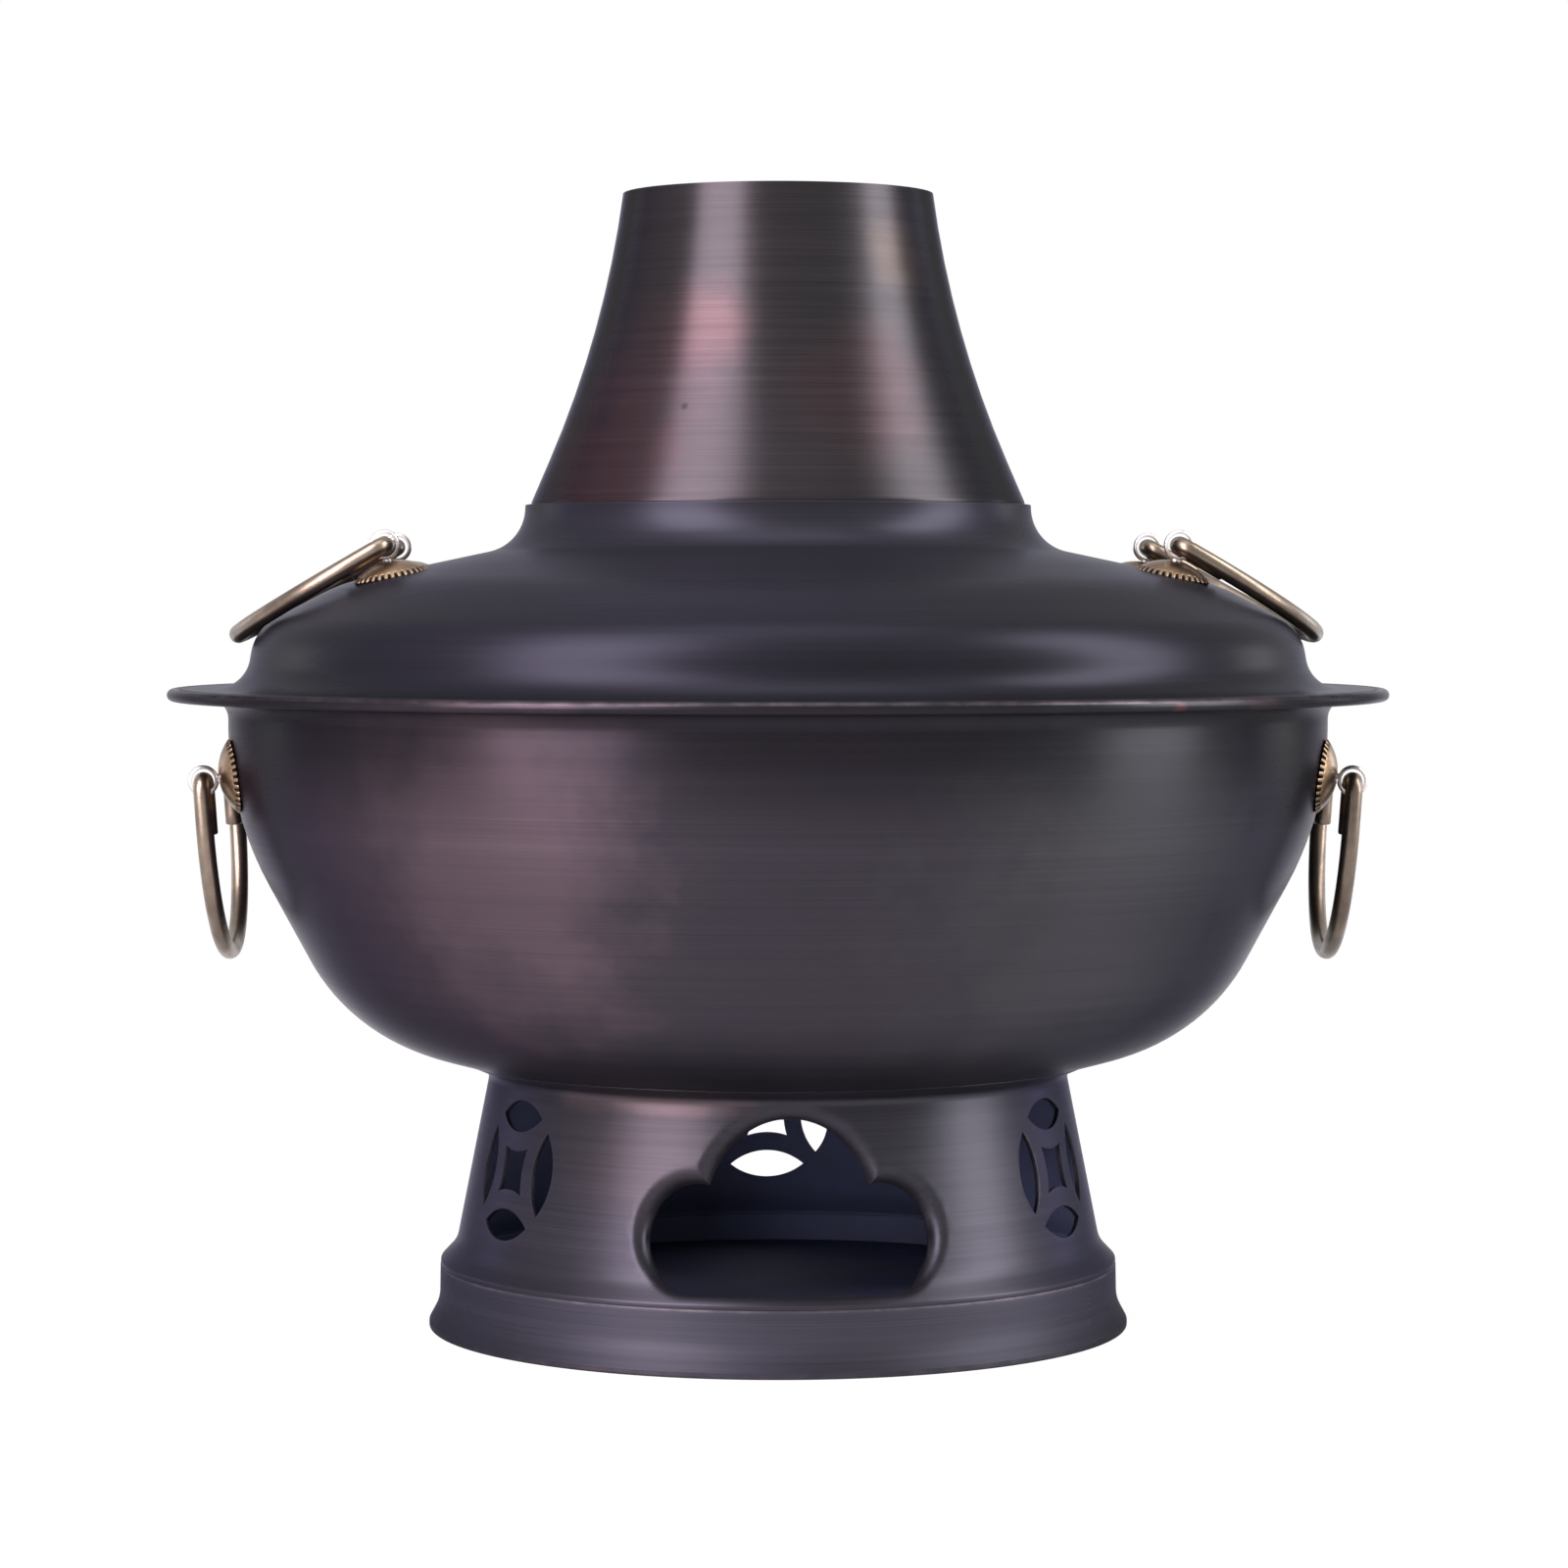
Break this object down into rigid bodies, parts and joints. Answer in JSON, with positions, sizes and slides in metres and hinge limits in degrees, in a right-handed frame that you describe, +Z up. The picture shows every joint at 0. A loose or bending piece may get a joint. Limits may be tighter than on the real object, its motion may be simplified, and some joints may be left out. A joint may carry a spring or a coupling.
{
  "type": "chimney hot pot",
  "caption": "Charcoal hot pot: ring-shaped bowl round a tapering chimney, lift-off lid, ring handles on scalloped rosettes, pierced stand with a cloud-shaped fire door.",
  "frame": {"origin": "centre of the foot's underside, on the surface that the pot stands on", "axes": "+Z up along the chimney, -Y towards the fire door side, +X and -X towards the handles"},
  "size_m": [0.35, 0.35, 0.326],
  "materials": {
    "bowl_copper": "spun copper with a dark antique patina, satin, worn bright on the rolled edge",
    "lid_copper": "spun copper with a blue-black antique patina, satin",
    "chimney_copper": "spun copper with a dark antique patina, fine turning lines",
    "stand_copper": "spun and pierced copper with a dark antique patina, satin",
    "flue_copper": "heat-darkened copper, dull",
    "grate_iron": "black cast iron, dull",
    "trim_brass": "antique brass, dark in the grooves",
    "handle_brass": "antique brass wire, polished where it is held"
  },
  "bodies": {
    "root": {"bowl_shell": "bowl_copper", "firebox": "flue_copper", "chimney": "chimney_copper", "grate": "grate_iron", "stand_shell": "stand_copper", "foot_ring": "stand_copper", "ash_floor": "stand_copper", "bowl_right_front_rosette": "trim_brass", "bowl_right_front_eye": "trim_brass", "bowl_right_back_rosette": "trim_brass", "bowl_right_back_eye": "trim_brass", "bowl_left_front_rosette": "trim_brass", "bowl_left_front_eye": "trim_brass", "bowl_left_back_rosette": "trim_brass", "bowl_left_back_eye": "trim_brass"},
    "lid": {"lid_shell": "lid_copper", "lid_right_front_rosette": "trim_brass", "lid_right_front_eye": "trim_brass", "lid_right_back_rosette": "trim_brass", "lid_right_back_eye": "trim_brass", "lid_left_front_rosette": "trim_brass", "lid_left_front_eye": "trim_brass", "lid_left_back_rosette": "trim_brass", "lid_left_back_eye": "trim_brass"},
    "bowl_right_handle": {"bowl_right_handle": "handle_brass"},
    "bowl_left_handle": {"bowl_left_handle": "handle_brass"},
    "lid_right_handle": {"lid_right_handle": "handle_brass"},
    "lid_left_handle": {"lid_left_handle": "handle_brass"}
  },
  "joints": [
    {"name": "lid_lift", "type": "slide", "parent": "root", "child": "lid", "axis": [0, 0, 1], "range_m": [0, 0.16]},
    {"name": "bowl_right_handle_swing", "type": "hinge", "parent": "root", "child": "bowl_right_handle", "pos_m": [0.16184, 0, 0.15836], "axis": [0, -1, 0], "range_deg": [-16, 149]},
    {"name": "bowl_left_handle_swing", "type": "hinge", "parent": "root", "child": "bowl_left_handle", "pos_m": [-0.16184, 0, 0.15836], "axis": [0, 1, 0], "range_deg": [-16, 149]},
    {"name": "lid_right_handle_swing", "type": "hinge", "parent": "lid", "child": "lid_right_handle", "pos_m": [0.11133, 0.00428, 0.2246], "axis": [0.0384, -0.9993, 0], "range_deg": [0, 165]},
    {"name": "lid_left_handle_swing", "type": "hinge", "parent": "lid", "child": "lid_left_handle", "pos_m": [-0.11133, -0.00428, 0.2246], "axis": [-0.0384, 0.9993, 0], "range_deg": [0, 165]}
  ]
}
